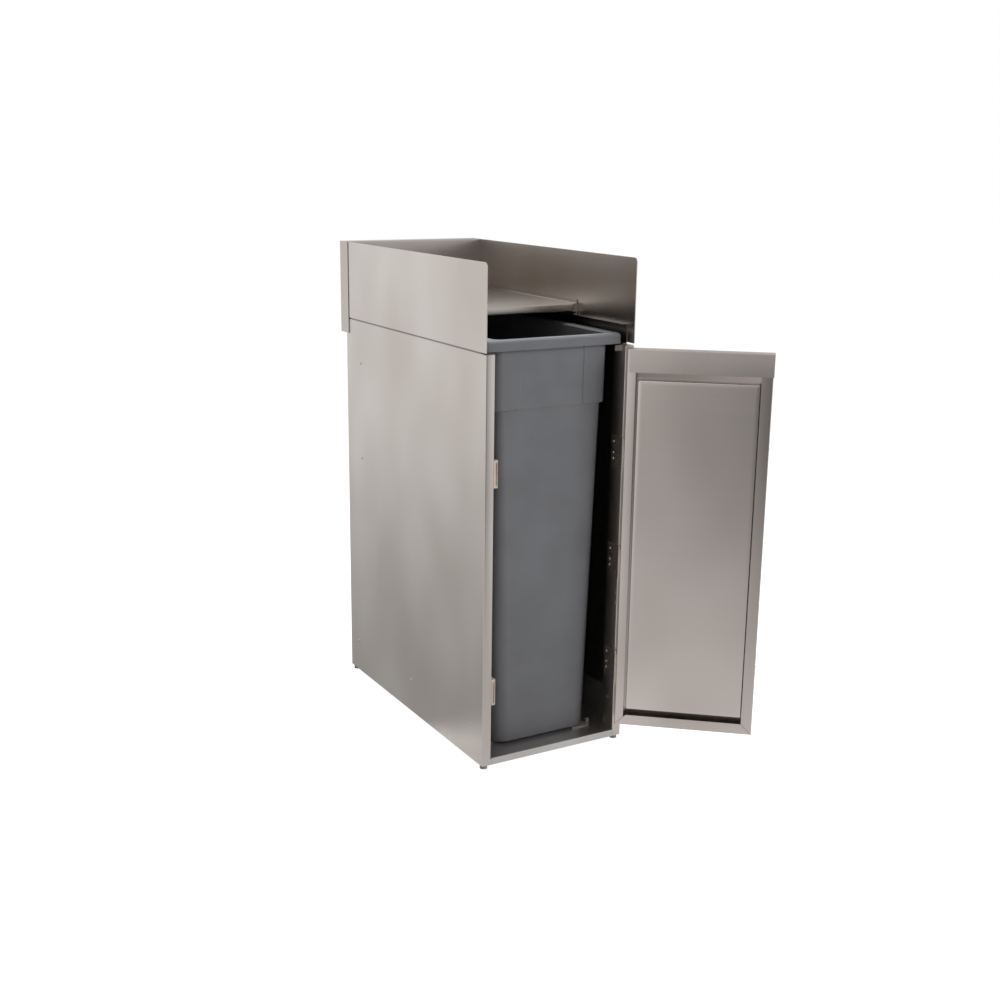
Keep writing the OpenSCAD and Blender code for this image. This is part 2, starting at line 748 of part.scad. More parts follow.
// Sections of the bin: half width, distance back from the rim, and corner radius.
foot_section = [base_half - foot_bevel, base_in + foot_bevel, base_r - foot_bevel];
base_section = [base_half, base_in, base_r];
body_section = [body_half, body_in, bin_r];
collar_low_section = [collar_low_half, collar_low_in, bin_r];
collar_section = [collar_half, collar_in, bin_r];
rim_section = [bin_w / 2, 0, rim_r];

// A length of the bin between the sections a at z0 and b at z1, moved in by wall.
module bin_length(a, z0, b, z1, wall)
  hull() {
    bin_slab(a[0] - wall, bin_l / 2 - a[1] - wall, a[2] - wall, z0);
    bin_slab(b[0] - wall, bin_l / 2 - b[1] - wall, b[2] - wall, z1 - slab);
  }

module bin_outside() {
  bin_length(foot_section, bin_low_z, base_section, bin_low_z + foot_h, 0);
  bin_length(base_section, bin_low_z + foot_h - slab, body_section, collar_z, 0);
  bin_length(collar_low_section, collar_z, collar_section, bin_top_z - bin_t, 0);
}

module bin_inside() {
  bin_length(base_section, bin_low_z + base_t, body_section, neck_z, bin_t);
  bin_length(collar_low_section, neck_z - slab, collar_section, bin_top_z + over, bin_t);
}

// Rim: a turned-over band, open underneath, that the collar carries.
module bin_rim()
  color("dimgray") at_front() difference() {
    bin_length(rim_section, rim_low_z, rim_section, bin_top_z, 0);
    bin_length(rim_section, rim_low_z - over, rim_section, bin_top_z - bin_t, bin_t);
    bin_length(collar_section, rim_low_z, collar_section, bin_top_z + over, bin_t);
  }

// Cut for the shallow panel: it follows the slope of the collar's front.
module grip_cut()
  hull() {
    block([-grip_half, bin_y, collar_z - eps],
          [grip_half, bin_y + collar_low_in + grip_depth, collar_z]);
    block([-grip_half, bin_y, bin_top_z - bin_t],
          [grip_half, bin_y + collar_in + grip_depth, bin_top_z - bin_t + over]);
  }

module bin()
  color("dimgray") at_front() difference() {
    bin_outside();
    bin_inside();
    grip_cut();
  }

// Glides

module glide_nuts()
  color("gainsboro") at_front()
    for (s = [-1, 1], y = [glide_y, glide_rear_y])
      translate([s * (half_w - glide_x), y, shell_z + sheet_t]) difference() {
        cylinder(r = nut_r, h = nut_h, $fn = 6);
        translate([0, 0, -over]) cylinder(r = stud_r + 0.05, h = nut_h + 2 * over);
      }

module glide_pad(s, y)
  color("dimgray") at_front() translate([s * (half_w - glide_x), y, 0]) difference() {
    union() {
      cylinder(r = pad_r, h = pad_foot_h);
      translate([0, 0, pad_foot_h - eps]) cylinder(r1 = pad_r, r2 = neck_r, h = pad_top - pad_foot_h + eps);
    }
    translate([0, 0, stud_low]) cylinder(r = stud_r, h = shell_z);
  }

module glide_stud(s, y)
  color("gainsboro") at_front() translate([s * (half_w - glide_x), y, stud_low])
    cylinder(r = stud_r, h = stud_top - stud_low);

module glide_pad_front_left() glide_pad(-1, glide_y);
module glide_pad_front_right() glide_pad(1, glide_y);
module glide_pad_rear_left() glide_pad(-1, glide_rear_y);
module glide_pad_rear_right() glide_pad(1, glide_rear_y);
module glide_stud_front_left() glide_stud(-1, glide_y);
module glide_stud_front_right() glide_stud(1, glide_y);
module glide_stud_rear_left() glide_stud(-1, glide_rear_y);
module glide_stud_rear_right() glide_stud(1, glide_rear_y);

side_left();
side_right();
back_panel();
floor_pan();
rail_left();
rail_right();
splash_left();
splash_right();
back_splash();
splash_end_left();
splash_end_right();
shelf();
shelf_leg_left();
shelf_leg_right();
bin_stop_left();
bin_stop_right();
runner_left();
runner_right();
guide_studs();
side_rivets_left();
side_rivets_right();
back_rivets();
hinge_backing_plate();
jamb_rivets();
hinge_low_frame_leaf();
hinge_middle_frame_leaf();
hinge_high_frame_leaf();
hinge_pins();
hinge_frame_screws();
catch_low_body();
catch_high_body();
catch_pole_plates();
catch_magnets();
catch_screws();
glide_nuts();
door_skin();
door_liner();
door_edge_rivets();
hinge_low_door_leaf();
hinge_middle_door_leaf();
hinge_high_door_leaf();
hinge_door_screws();
bin();
bin_rim();
glide_pad_front_left();
glide_pad_front_right();
glide_pad_rear_left();
glide_pad_rear_right();
glide_stud_front_left();
glide_stud_front_right();
glide_stud_rear_left();
glide_stud_rear_right();
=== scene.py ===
import math
import bmesh
import bpy
import numpy as np
from mathutils import Matrix, Vector


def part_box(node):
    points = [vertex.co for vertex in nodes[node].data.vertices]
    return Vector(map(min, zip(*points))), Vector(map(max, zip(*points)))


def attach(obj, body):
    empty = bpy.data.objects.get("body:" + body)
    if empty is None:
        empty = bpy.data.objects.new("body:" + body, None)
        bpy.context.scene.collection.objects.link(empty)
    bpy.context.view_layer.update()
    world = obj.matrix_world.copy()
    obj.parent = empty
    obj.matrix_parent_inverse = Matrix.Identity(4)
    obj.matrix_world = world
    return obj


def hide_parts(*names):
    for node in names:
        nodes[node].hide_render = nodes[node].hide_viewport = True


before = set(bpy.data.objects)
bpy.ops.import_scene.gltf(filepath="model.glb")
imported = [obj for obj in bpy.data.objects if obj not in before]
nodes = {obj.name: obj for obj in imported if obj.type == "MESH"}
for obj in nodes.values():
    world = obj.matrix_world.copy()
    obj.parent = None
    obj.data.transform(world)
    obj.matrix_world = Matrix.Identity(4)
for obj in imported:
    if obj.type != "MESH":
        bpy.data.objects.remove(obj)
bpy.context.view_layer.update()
mm = 0.001
print("frame loaded:", len(nodes), "nodes")

# Camera: the photograph's viewpoint, without lens shift
viewpoint = {
    "azimuth": -30.036,  # degrees round the cabinet, 0 looks along +Y
    "elevation": 14.413,
    "roll": 0.741,
    "distance": 2.62204,
    "target": (0.018449, -0.0618, 0.434848),
    "lens": 48.233,
}


def makeCamera(view):
    a, e, r = (math.radians(view[k]) for k in ("azimuth", "elevation", "roll"))
    back = Vector((math.sin(a) * math.cos(e), -math.cos(a) * math.cos(e), math.sin(e)))
    right = Vector((0, 0, 1)).cross(back).normalized()
    up = back.cross(right)
    rolled = right * math.cos(r) + up * math.sin(r), up * math.cos(r) - right * math.sin(r)
    data = bpy.data.cameras.new("camera")
    data.lens = view["lens"]
    data.sensor_width = 36
    data.clip_start, data.clip_end = 0.1, 60
    eye = bpy.data.objects.new("camera", data)
    turned = Matrix((rolled[0], rolled[1], back)).transposed().to_4x4()
    eye.matrix_world = Matrix.Translation(Vector(view["target"]) + back * view["distance"]) @ turned
    bpy.context.scene.collection.objects.link(eye)
    bpy.context.scene.camera = eye


makeCamera(viewpoint)
bpy.context.scene.view_settings.view_transform = "Standard"
print("camera placed")


# Materials

def linear(hexColour):
    # sRGB to linear light, with full opacity
    channels = [int(hexColour[i:i + 2], 16) / 255 for i in (1, 3, 5)]
    return [c / 12.92 if c <= 0.04045 else ((c + 0.055) / 1.055) ** 2.4 for c in channels] + [1]


def addNode(tree, kind, values=None, links=None, **settings):
    node = tree.nodes.new(kind)
    for name, value in settings.items():
        setattr(node, name, value)
    for name, value in (values or {}).items():
        node.inputs[name].default_value = value
    for name, source in (links or {}).items():
        tree.links.new(source, node.inputs[name])
    return node


def newMaterial(name):
    material = bpy.data.materials.new(name)
    material.use_nodes = True
    tree = material.node_tree
    tree.nodes.clear()
    shader = addNode(tree, "ShaderNodeBsdfPrincipled")
    addNode(tree, "ShaderNodeOutputMaterial", links={"Surface": shader.outputs[0]})
    return material, tree, shader


noiseRoughness = 0.55
toneSpan = (0.35, 0.65)  # part of a noise's values over which the tone goes from dark to light
roughSpan = (0.3, 0.7)  # the same for the roughness


def noise(tree, place, size, detail=2.0, stretch=(1, 1, 1), turn=0.0):
    # a noise whose lumps are size metres across, longer where stretch is above 1; turn swings its axes
    setting = {"Rotation": (0, 0, turn), "Scale": [size * s for s in stretch]}
    scaled = addNode(tree, "ShaderNodeMapping", setting, {"Vector": place}, vector_type="TEXTURE")
    setting = {"Scale": 1.0, "Detail": detail, "Roughness": noiseRoughness}
    return addNode(tree, "ShaderNodeTexNoise", setting, {"Vector": scaled.outputs[0]}).outputs["Fac"]


def spread(tree, source, low, high, toLow=0.0, toHigh=1.0):
    setting = {"From Min": low, "From Max": high, "To Min": toLow, "To Max": toHigh}
    return addNode(tree, "ShaderNodeMapRange", setting, {"Value": source}).outputs[0]


def blendColours(tree, fac, a, b):
    mix = addNode(tree, "ShaderNodeMix", links={"Factor": fac}, data_type="RGBA")
    mix.inputs[6].default_value = linear(a)
    mix.inputs[7].default_value = linear(b)
    return mix.outputs[2]


brushed = {
    "grainWidth": 2.6 * mm,  # real grit lines are about 0.1 mm; these are the soft bands that they make
    "grainLength": 150 * mm,
    "cloud": 170 * mm,  # slow change of tone over a sheet
    "cloudStretch": (1, 1, 1.6),
    "lineShare": 0.07,  # share of the tone that follows the grain; the rest follows the cloud
    "roughness": (0.28, 0.30),  # between the grain lines, and on them
}


def brushedStainless(name, along, light, dark, turn=0.0, metallic=1.0):
    # 304 stainless sheet, belt brushed along one way: satin, with soft stretched reflections
    material, tree, shader = newMaterial(name)
    place = addNode(tree, "ShaderNodeTexCoord").outputs["Object"]
    stretch = [brushed["grainLength"] / brushed["grainWidth"] if axis == along else 1 for axis in "xyz"]
    lines = noise(tree, place, brushed["grainWidth"], 2.0, stretch, turn)
    cloud = noise(tree, place, brushed["cloud"], 1.0, brushed["cloudStretch"], turn)
    share = brushed["lineShare"]
    fine = addNode(tree, "ShaderNodeMath", {1: share}, {0: lines}, operation="MULTIPLY").outputs[0]
    both = {0: cloud, 2: fine}
    tone = addNode(tree, "ShaderNodeMath", {1: 1 - share}, both, operation="MULTIPLY_ADD").outputs[0]
    colour = blendColours(tree, spread(tree, tone, *toneSpan), dark, light)
    rough = spread(tree, lines, *roughSpan, *brushed["roughness"])
    tree.links.new(colour, shader.inputs["Base Color"])
    tree.links.new(rough, shader.inputs["Roughness"])
    shader.inputs["Metallic"].default_value = metallic
    return material


# spot: size of the uneven spots; smoother, rougher: how far the roughness strays from its middle
hardware = {"spot": 4 * mm, "detail": 3.0, "smoother": 0.05, "rougher": 0.08}


def plainMetal(name, light, dark, rough):
    # plated or pressed steel hardware: smooth, slightly uneven
    material, tree, shader = newMaterial(name)
    place = addNode(tree, "ShaderNodeTexCoord").outputs["Object"]
    spots = noise(tree, place, hardware["spot"], hardware["detail"])
    colour = blendColours(tree, spread(tree, spots, *toneSpan), dark, light)
    sheen = spread(tree, spots, *roughSpan, rough - hardware["smoother"], rough + hardware["rougher"])
    tree.links.new(colour, shader.inputs["Base Color"])
    tree.links.new(sheen, shader.inputs["Roughness"])
    shader.inputs["Metallic"].default_value = 1.0
    return material


# cloud: size of the slow change of tone; bump: strength of the pits
moulded = {"cloud": 90 * mm, "pitDetail": 3.0, "bump": 0.35, "smoother": 0.04, "rougher": 0.06}


def mouldedPlastic(name, light, dark, rough, grain, depth):
    # moulded plastic with a fine spark-eroded texture
    material, tree, shader = newMaterial(name)
    place = addNode(tree, "ShaderNodeTexCoord").outputs["Object"]
    cloud = noise(tree, place, moulded["cloud"], 2.0)
    pits = noise(tree, place, grain, moulded["pitDetail"])
    setting = {"Strength": moulded["bump"], "Distance": depth}
    bump = addNode(tree, "ShaderNodeBump", setting, {"Height": pits})
    colour = blendColours(tree, spread(tree, cloud, *toneSpan), dark, light)
    sheen = spread(tree, pits, *roughSpan, rough - moulded["smoother"], rough + moulded["rougher"])
    tree.links.new(colour, shader.inputs["Base Color"])
    tree.links.new(sheen, shader.inputs["Roughness"])
    tree.links.new(bump.outputs[0], shader.inputs["Normal"])
    return material


doorAngle = math.radians(140)  # how far the door stands open at rest
finishes = {
    "panel": brushedStainless("brushedStainlessPanel", "y", "#D0CAC4", "#C4BCB5"),
    "across": brushedStainless("brushedStainlessAcross", "x", "#C4BDB7", "#B7AFA9"),
    "upright": brushedStainless("brushedStainlessUpright", "z", "#C4BDB7", "#B7AFA9"),
    # the rails' stainless is painted darker than the other sheets: painted shade for the seam gap they are
    # seen through
    "rail": brushedStainless("railStainlessPaintedSeamShade", "y", "#8B8681", "#7F7A75"),
    "door": brushedStainless("brushedStainlessDoor", "z", "#D2C8C2", "#C5BCB5", doorAngle),
    "liner": brushedStainless("brushedStainlessLiner", "x", "#DBD1CB", "#CEC5BE", doorAngle),
    "floor": brushedStainless("scuffedStainlessFloor", "x", "#CCC8C5", "#BFBBB8", metallic=0.85),
    "rivet": plainMetal("pressedStainlessRivet", "#CFC8C0", "#B0A79F", 0.30),
    "plated": plainMetal("platedSteelHardware", "#CFC4B8", "#B4A89C", 0.40),
    "bin": mouldedPlastic("mouldedGreyPolyethylene", "#68696C", "#626366", 0.48, 1.6 * mm, 0.06 * mm),
    "catch": mouldedPlastic("mouldedCatchPlastic", "#D2BFB0", "#C3B0A1", 0.45, 1.2 * mm, 0.04 * mm),
    "magnet": mouldedPlastic("sinteredFerrite", "#4A4545", "#3A3636", 0.60, 0.8 * mm, 0.04 * mm),
    "glide": mouldedPlastic("mouldedNylonGlide", "#A8A49B", "#98948B", 0.50, 1.2 * mm, 0.04 * mm),
    "slide": mouldedPlastic("polyethyleneSlideStrip", "#8F8C85", "#807D76", 0.50, 1.2 * mm, 0.04 * mm),
}
print("materials made:", len(finishes))


# Folded sheet metal and lofted mouldings

def foldedRing(corners, thickness, bend, steps=6):
    # section of a folded sheet: its outer line, with the metal to the left, is moved in by half the
    # thickness, each corner becomes an arc of radius bend, and the ring is that line moved half the
    # thickness to each side
    corners = np.array(corners, float)
    leg = np.diff(corners, axis=0)
    leg /= np.linalg.norm(leg, axis=1)[:, None]
    normal = np.stack([-leg[:, 1], leg[:, 0]], 1)
    before, after = normal[:-1], normal[1:]
    middle = corners[1:-1] + thickness / 2 * (before + after) / (1 + (before * after).sum(1))[:, None]
    turn = np.arctan2(leg[:-1, 0] * leg[1:, 1] - leg[:-1, 1] * leg[1:, 0], (leg[:-1] * leg[1:]).sum(1))
    side = np.sign(turn)[:, None]
    centre = middle - leg[:-1] * bend * np.tan(np.abs(turn) / 2)[:, None] + before * side * bend
    angle = turn[:, None] * np.linspace(0, 1, steps)
    cos, sin = np.cos(angle), np.sin(angle)
    x, y = before[:, :1], before[:, 1:]
    swept = np.stack([x * cos - y * sin, x * sin + y * cos], 2)
    arc = centre[:, None] - side[:, None] * bend * swept
    ends = corners[[0, -1]] + thickness / 2 * normal[[0, -1]]
    line = np.concatenate([ends[:1], arc.reshape(-1, 2), ends[1:]])
    away = np.concatenate([normal[:1], swept.reshape(-1, 2), normal[-1:]]) * thickness / 2
    return np.concatenate([line - away, (line + away)[::-1]])


def foldedShell(corners, thickness, bend, start, end, axes, mitre=None):
    # the ring is carried along the third axis from start to end; mitre gives, for each ring point,
    # how far its two ends are cut back
    ring = foldedRing(corners, thickness, bend)
    count = len(ring)
    cut = mitre(ring) if mitre else (np.zeros(count), np.zeros(count))
    points = np.zeros((2 * count, 3))
    points[:, axes[0]] = np.tile(ring[:, 0], 2)
    points[:, axes[1]] = np.tile(ring[:, 1], 2)
    points[:, axes[2]] = np.concatenate([start + cut[0], end - cut[1]])
    i = np.arange(count)
    nextOne = (i + 1) % count
    walls = np.stack([i, nextOne, nextOne + count, i + count], 1)
    k = np.arange(count // 2 - 1)
    cap = np.stack([k, k + 1, count - 2 - k, count - 1 - k], 1)
    return points, np.concatenate([walls, cap[:, ::-1], cap + count])


def boxShell(low, high):
    # a plain flange: eight corners, six sides
    low, high = np.array(low, float), np.array(high, float)
    pick = np.array([[x, y, z] for x in (0, 1) for y in (0, 1) for z in (0, 1)])
    faces = np.array([[0, 1, 3, 2], [4, 6, 7, 5], [0, 4, 5, 1], [2, 3, 7, 6], [0, 2, 6, 4], [1, 5, 7, 3]])
    return low + pick * (high - low), faces


def roundedRings(halfX, halfY, radius, z, around=24):
    # rings of a rounded rectangle: four quarter circles of the corner radius, whose centres stand
    # at the half sizes less the radius; one ring for each entry of the arrays
    halfX, halfY, radius, z = (np.asarray(a, float)[:, None] for a in (halfX, halfY, radius, z))
    angle = np.linspace(0, 2 * np.pi, 4 * around, endpoint=False) + np.pi / 4 / around
    quarter = np.arange(4 * around) // around
    signX = np.array([1, -1, -1, 1])[quarter]
    signY = np.array([1, 1, -1, -1])[quarter]
    x = signX * (halfX - radius) + radius * np.cos(angle)
    y = signY * (halfY - radius) + radius * np.sin(angle)
    return np.stack([x, y, np.broadcast_to(z, x.shape)], 2)


def loftShell(rings):
    # rings joined by quads, closed by a pole at each end
    levels, around = rings.shape[:2]
    points = np.concatenate([rings.reshape(-1, 3), rings[[0, -1]].mean(1)])
    i = np.arange(around)
    j = (i + 1) % around
    base = (np.arange(levels - 1) * around)[:, None]
    walls = np.stack([base + i, base + j, base + around + j, base + around + i], 2).reshape(-1, 4)
    last = (levels - 1) * around
    lowPole, highPole = len(points) - 2, len(points) - 1
    faces = walls.tolist() + np.stack([j, i, np.full(around, lowPole)], 1).tolist()
    return points, faces + np.stack([last + i, last + j, np.full(around, highPole)], 1).tolist()


def swung(points):
    # closed door's place, in millimetres, turned about the hinge pins to its rest place
    pin = np.array([door["pinX"], door["pinY"]])
    cos, sin = math.cos(doorAngle), math.sin(doorAngle)
    flat = points[:, :2] - pin
    turned = np.stack([flat[:, 0] * cos - flat[:, 1] * sin, flat[:, 0] * sin + flat[:, 1] * cos], 1) + pin
    return np.concatenate([turned, points[:, 2:]], 1)


def mirrored(shells):
    return [(points * (-1, 1, 1), faces) for points, faces in shells]


def makePiece(name, shells, finish, body, replaced=(), sharp=32):
    # closed shells, in millimetres, become one mesh with outward faces
    points = np.concatenate([p for p, f in shells]) * mm
    starts = np.cumsum([0] + [len(p) for p, f in shells])
    faces = [[int(v) + int(s) for v in face] for (p, f), s in zip(shells, starts) for face in f]
    mesh = bpy.data.meshes.new(name)
    mesh.from_pydata(points.tolist(), [], faces)
    work = bmesh.new()
    work.from_mesh(mesh)
    bmesh.ops.recalc_face_normals(work, faces=work.faces)
    work.to_mesh(mesh)
    work.free()
    mesh.polygons.foreach_set("use_smooth", [True] * len(mesh.polygons))
    mesh.set_sharp_from_angle(angle=math.radians(sharp))
    piece = bpy.data.objects.new(name, mesh)
    bpy.context.scene.collection.objects.link(piece)
    mesh.materials.append(finishes[finish])
    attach(piece, body)
    if replaced:
        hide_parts(*replaced)


def cornersOf(node):
    # a node's low and high corner, in millimetres
    low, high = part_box(node)
    return np.array(low) / mm, np.array(high) / mm


# Cabinet shell
shell = {
    "thickness": 1.5,
    "bend": 1.6,  # bend radius of the sheet's middle
    "jamb": 18.5,
    "jambReturn": 38,
    "rearFlange": 20,
    "bottomFlange": 34,
    "tab": (9, 20.5, 10),  # reach, set-back and height of the small tab at the jamb's top
    "tabRoot": 0.2,  # how far the tab runs into the jamb's return
    "returnClear": 2,  # from the return to the bottom flange behind it
    "rearHem": 6,  # how far below its seat the back splash's sheet starts
}


def sidePanel():
    # one fold round rear flange, side, jamb and return, with plain flanges at its top and bottom
    low, high = cornersOf("side_left")
    t, left, front, rear = shell["thickness"], low[0], low[1], high[1]
    jamb = left + shell["jamb"]
    line = [(left + shell["rearFlange"], rear), (left, rear), (left, front), (jamb, front),
            (jamb, front + shell["jambReturn"])]
    reach, place, height = shell["tab"]
    return [
        foldedShell(line, t, shell["bend"], low[2], high[2], (0, 1, 2)),
        boxShell((left + t, front + t, high[2] - t), (jamb - t, rear - t, high[2])),
        boxShell((left + t, front + t, low[2]), (jamb - t, rear - t, low[2] + t)),
        boxShell((jamb - t, front + shell["jambReturn"] + shell["returnClear"], low[2]),
                 (left + shell["bottomFlange"], rear - t, low[2] + t)),
        boxShell((jamb - shell["tabRoot"], front + place, high[2] - t - height),
                 (jamb + reach, front + place + t, high[2] - t)),
    ]


left = sidePanel()
makePiece("sidePanelLeft", left, "panel", "cabinet", ["side_left"])
makePiece("sidePanelRight", mirrored(left), "panel", "cabinet", ["side_right"])


def backSplash():
    # one section carried across the cabinet: down behind the body, out, up, forward over the top,
    # down the front and back along its seat
    low, high = cornersOf("back_splash")
    seat, t = cornersOf("side_left")[1], shell["thickness"]
    bodyRear = seat[1]
    line = [
        (bodyRear, seat[2] - shell["rearHem"]), (bodyRear, low[2]), (high[1], low[2]),
        (high[1], high[2]), (low[1], high[2]), (low[1], seat[2]), (bodyRear, seat[2]),
    ]
    return [foldedShell(line, t, shell["bend"], low[0], high[0], (1, 2, 0))]


makePiece("backSplash", backSplash(), "across", "cabinet", ["back_splash"])

shelf = {
    "hem": 15,
    "hemReturn": 10,
    "bend": 2.0,
    "lip": 7,  # how far the side lips stand over the shelf
    "lipBack": 3,  # from the shelf's front edge to the lip's end
    "notch": 10,  # width of the corner that is cut away beside the hem
    "seam": 0.2,
    "facePast": 2,  # how far the corner's front face runs behind the hem
    "faceDrop": 1.2,  # from the shelf's top to that face
}


def shelfSheet():
    # rear, top and hem folded across the cabinet, an angle along each side, and the cut front corners
    low, high = cornersOf("shelf")
    t = shell["thickness"]
    top = high[2] - shelf["lip"]
    inner = high[0] - shelf["notch"]
    rear = high[1]
    across = [(rear, top - shelf["hem"]), (rear, top), (low[1], top), (low[1], top - shelf["hem"]),
              (low[1] + shelf["hemReturn"], top - shelf["hem"])]
    lip = [(low[0], high[2]), (low[0], top - t), (low[0] + shelf["notch"] - shelf["seam"], top - t)]
    lipShell = foldedShell(lip, t, shell["bend"], low[1] + shelf["lipBack"], rear, (0, 2, 1))
    front = boxShell((inner - shelf["facePast"], low[1], top - shelf["hem"]),
                     (high[0], low[1] + t, top - shelf["faceDrop"]))
    return [
        foldedShell(across[::-1], -t, shelf["bend"], -inner, inner, (1, 2, 0)),
        lipShell, *mirrored([lipShell]), front, *mirrored([front]),
    ]


makePiece("shelfSheet", shelfSheet(), "across", "cabinet", ["shelf"])
print("cabinet shell built")

# Door: one folded pan, closed in these numbers, then swung open
door = {
    "pinX": 132.6,
    "pinY": -309.3,
    "thickness": 1.2,
    "bend": 1.2,
    "hingeX": 129.1,
    "freeX": -126.6,
    "front": -305.8,  # outer face when closed
    "inner": -285.8,  # inner flanges' face when closed
    "low": 45.5,
    "top": 760,
    "hingeFlange": 16,
    "freeFlange": 20,
    "band": 41.5,  # height of the flat band along the inner top
    "bandOver": 1,  # how far it reaches past the free edge
    "bandShort": 4,  # and stops before the hinge edge
    "mitreGap": (0.2, 0.5),  # left open at the 45 degree cuts: side flanges, bottom flange
    "mitreFrom": 0.5,  # how far below its face a flange's fold is cut along with it
    "footClear": 0.05,  # these two keep one flange's metal out of the other's face
    "skinClear": 0.3,
    "linerSink": 2,  # how far the liner lies below the flanges' face
    "linerGaps": {"hinge": 4, "free": 1, "low": 11.5, "top": 14},
    "linerFold": 2.0,
    "linerCorner": (3, 0.6),  # corner radius, and the least that it may shrink to
    "linerFoot": 0.6,  # set-in of the liner's rear edge
    "linerFlat": (6, 40),  # set-in of the two rings on its flat face: past the fold, from the edge
}


def doorPan():
    # an upright fold makes the face and side flanges; a fold each, the bottom flange and the top band
    d = door
    t, bend = d["thickness"], d["bend"]
    upright = [
        (d["freeX"] + d["freeFlange"], d["inner"]), (d["freeX"], d["inner"]), (d["freeX"], d["front"]),
        (d["hingeX"], d["front"]), (d["hingeX"], d["inner"]), (d["hingeX"] - d["hingeFlange"], d["inner"]),
    ]
    bandLow = d["top"] - d["band"]
    sideGap, bottomGap = d["mitreGap"]
    foldFrom = d["inner"] - t - d["mitreFrom"]

    def uprightCut(ring):
        # the side flanges' lower ends are cut at 45 degrees where they meet the bottom flange
        fromEdge = np.minimum(ring[:, 0] - d["freeX"], d["hingeX"] - ring[:, 0])
        return np.where(ring[:, 1] > foldFrom, np.maximum(fromEdge, 0) + sideGap, 0), np.zeros(len(ring))

    def acrossCut(ring):
        # the bottom flange's ends are cut to the same 45 degrees
        up = np.where(ring[:, 0] > foldFrom, ring[:, 1] - d["low"], 0) + bottomGap
        return up, up

    edge = d["front"] + d["skinClear"]
    bandEnd = d["hingeX"] - d["bandShort"]
    bottom = [(edge, d["low"]), (d["inner"], d["low"]), (d["inner"], d["low"] + d["freeFlange"])]
    top = [(edge, d["top"]), (d["inner"] + t, d["top"]), (d["inner"] + t, bandLow)]
    foot = d["low"] + d["footClear"]
    shells = [
        foldedShell(upright, t, bend, foot, d["top"] - t, (0, 1, 2), uprightCut),
        foldedShell(bottom, t, bend, d["freeX"], d["hingeX"], (1, 2, 0), acrossCut),
        foldedShell(top, -t, bend, d["freeX"] - d["bandOver"], bandEnd, (1, 2, 0)),
        boxShell((bandEnd, edge, d["top"] - t), (d["hingeX"] - d["skinClear"], d["inner"], d["top"])),
    ]
    return [(swung(p), f) for p, f in shells]


def doorLiner():
    # a shallow tray: its sides stand on the skin and turn into its face over a small radius
    d, gaps = door, door["linerGaps"]
    x0 = d["freeX"] + d["freeFlange"] + gaps["free"]
    x1 = d["hingeX"] - d["hingeFlange"] - gaps["hinge"]
    z0 = d["low"] + d["freeFlange"] + gaps["low"]
    z1 = d["top"] - d["band"] - gaps["top"]
    face, skin, fold = d["inner"] - d["linerSink"], d["front"] + d["thickness"], d["linerFold"]
    corner, least = d["linerCorner"]
    pastFold, middle = d["linerFlat"]
    angle = np.linspace(0, np.pi / 2, 6)
    inset = np.concatenate([[d["linerFoot"], 0], fold * (1 - np.cos(angle)), [fold + pastFold, middle]])
    height = np.concatenate([[skin, skin], face - fold + fold * np.sin(angle), [face, face]])
    radius = np.maximum(corner - inset, least)
    rings = roundedRings((x1 - x0) / 2 - inset, (z1 - z0) / 2 - inset, radius, height, around=6)
    points = np.stack([rings[..., 0] + (x0 + x1) / 2, rings[..., 2], rings[..., 1] + (z0 + z1) / 2], 2)
    shellPoints, faces = loftShell(points)
    return [(swung(shellPoints), faces)]


makePiece("doorPan", doorPan(), "door", "door", ["door_skin"])
makePiece("doorLiner", doorLiner(), "liner", "door", ["door_liner"])
print("door built")

# Bin: one moulding, lofted from its underside, over the rim and down its inside
binForm = {
    "midY": -28.8,
    "length": 508,
    "low": 22.5,
    "top": 782,
    "wall": 3,
    "corner": 16,
    # half width of each form, and its set-back from the rim's front
    "rim": (139.7, 0),
    "collar": (117.8, 8),  # the sloping band under the rim, at its top
    "collarFoot": (117, 10),
    "body": (110.6, 13),
    "base": (104.2, 20.4),
    "collarLow": 656,
    "rimHeight": 20,
    "rimCorner": 5,
    "rimEase": 0.8,  # small radii along the rim's edges
    "underEase": 1,  # the same in the hollow under its top
    "leastCorner": 1,
    "mouthEdge": 2.5,  # radius round the mouth
    "shoulder": (6, 0.2, 8),  # radius between the rim's band and its top, its set-in, and its rings
    "baseCorner": 34,
    # set-in and height of the rings of the base's step
    "step": [(9, 0), (8, 0.4), (8, 1.2), (7.2, 1.6), (1.5, 1.6), (0.4, 2.2), (0, 3.6)],
    # form, set-in and height over the collar's foot, of the rings of the collar's lower edge
    "ledge": [("body", -0.6, -0.4), ("collarFoot", 1.5, 0), ("collarFoot", 0.4, 0.5), ("collarFoot", 0, 2)],
    # set-in and height of the rings of the inside's bottom
    "bottom": [(0, 17), (3, 9.5), (10, 8)],
    "wallRings": (8, 1.5, 24),  # from the base, to under the collar, and how many
    "wallFrom": 0.02,  # share of that way at which the first of them stands
    "collarRings": (6, 1, 26),  # from the collar's foot, to under the rim's top, and how many
    "insideRings": (8, 1),  # over the collar's foot
    "pressed": (65.5, 1.5),  # half width and depth of the flat panel pressed into the collar's front
    "pressedEdge": 0.8,  # half width of the slope along the panel's sides
    "pressedFoot": (-0.3, 0.6),  # start and end of the slope at its foot, over the collar's foot
    "frontDepth": 0.5,  # what lies this near to a ring's foremost point is its front
}


def between(first, last, shares):
    # rows that stand at these shares of the way from first to last
    return [tuple(a + s * (b - a) for a, b in zip(first, last)) for s in shares]


